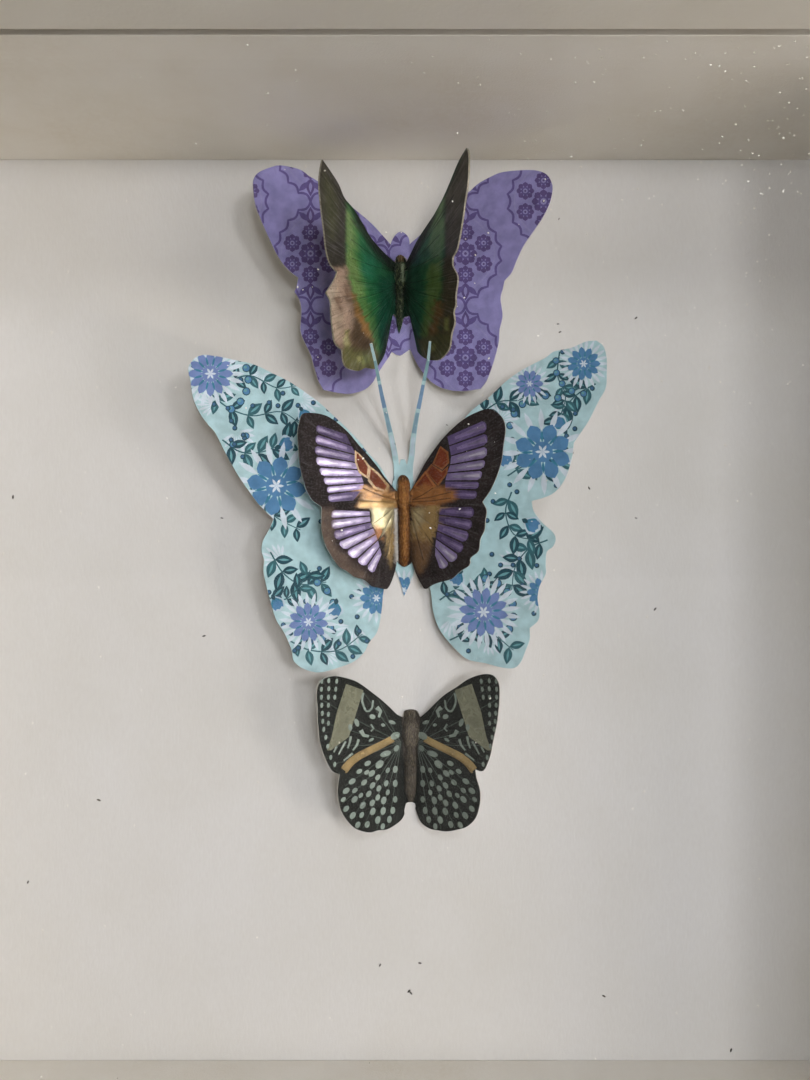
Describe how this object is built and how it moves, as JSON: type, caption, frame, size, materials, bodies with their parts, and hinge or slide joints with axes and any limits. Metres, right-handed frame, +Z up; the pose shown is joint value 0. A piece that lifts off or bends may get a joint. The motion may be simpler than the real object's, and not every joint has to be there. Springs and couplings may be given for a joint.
{
  "type": "butterfly shadow box",
  "caption": "Deep square picture box with a clear pane, a white mount card and folded paper butterflies glued in a column.",
  "frame": {"origin": "middle of the box's foot, on the surface it stands on", "axes": "X to the right seen from the front, -Y out of the glazed front, Z up"},
  "size_m": [0.255, 0.07, 0.255],
  "materials": {
    "painted_rail": "off-white satin paint on wood",
    "clear_pane": "clear picture glass with a little dust",
    "liner_board": "off-white matt board",
    "mount_card": "white matt mount card",
    "hardboard": "bare brown hardboard",
    "steel_point": "bare rolled steel",
    "brassed_hanger": "brassed pressed steel",
    "purple_paper": "matt purple paper with a darker traditional print",
    "green_card": "semi-gloss printed card, green and dark brown",
    "blue_paper": null,
    "lilac_card": "glossy printed card, dark brown, lilac and orange",
    "spotted_card": "glossy printed card, black with pale spots",
    "dust": "lint and dust specks"
  },
  "bodies": {
    "root": {"frame_top_rail": "painted_rail", "frame_bottom_rail": "painted_rail", "frame_left_rail": "painted_rail", "frame_right_rail": "painted_rail", "glass_pane": "clear_pane", "liner_top": "liner_board", "liner_bottom": "liner_board", "liner_left": "liner_board", "liner_right": "liner_board", "mount_card": "mount_card", "backboard": "hardboard", "framer_point_1": "steel_point", "framer_point_2": "steel_point", "framer_point_3": "steel_point", "framer_point_4": "steel_point", "framer_point_5": "steel_point", "framer_point_6": "steel_point", "framer_point_7": "steel_point", "framer_point_8": "steel_point", "sawtooth_hanger": "brassed_hanger", "hanger_rivet_left": "brassed_hanger", "hanger_rivet_right": "brassed_hanger", "butterfly_purple": "purple_paper", "butterfly_green": "green_card", "butterfly_blue": "blue_paper", "butterfly_lilac": "lilac_card", "butterfly_spotted": "spotted_card"}
  },
  "joints": []
}
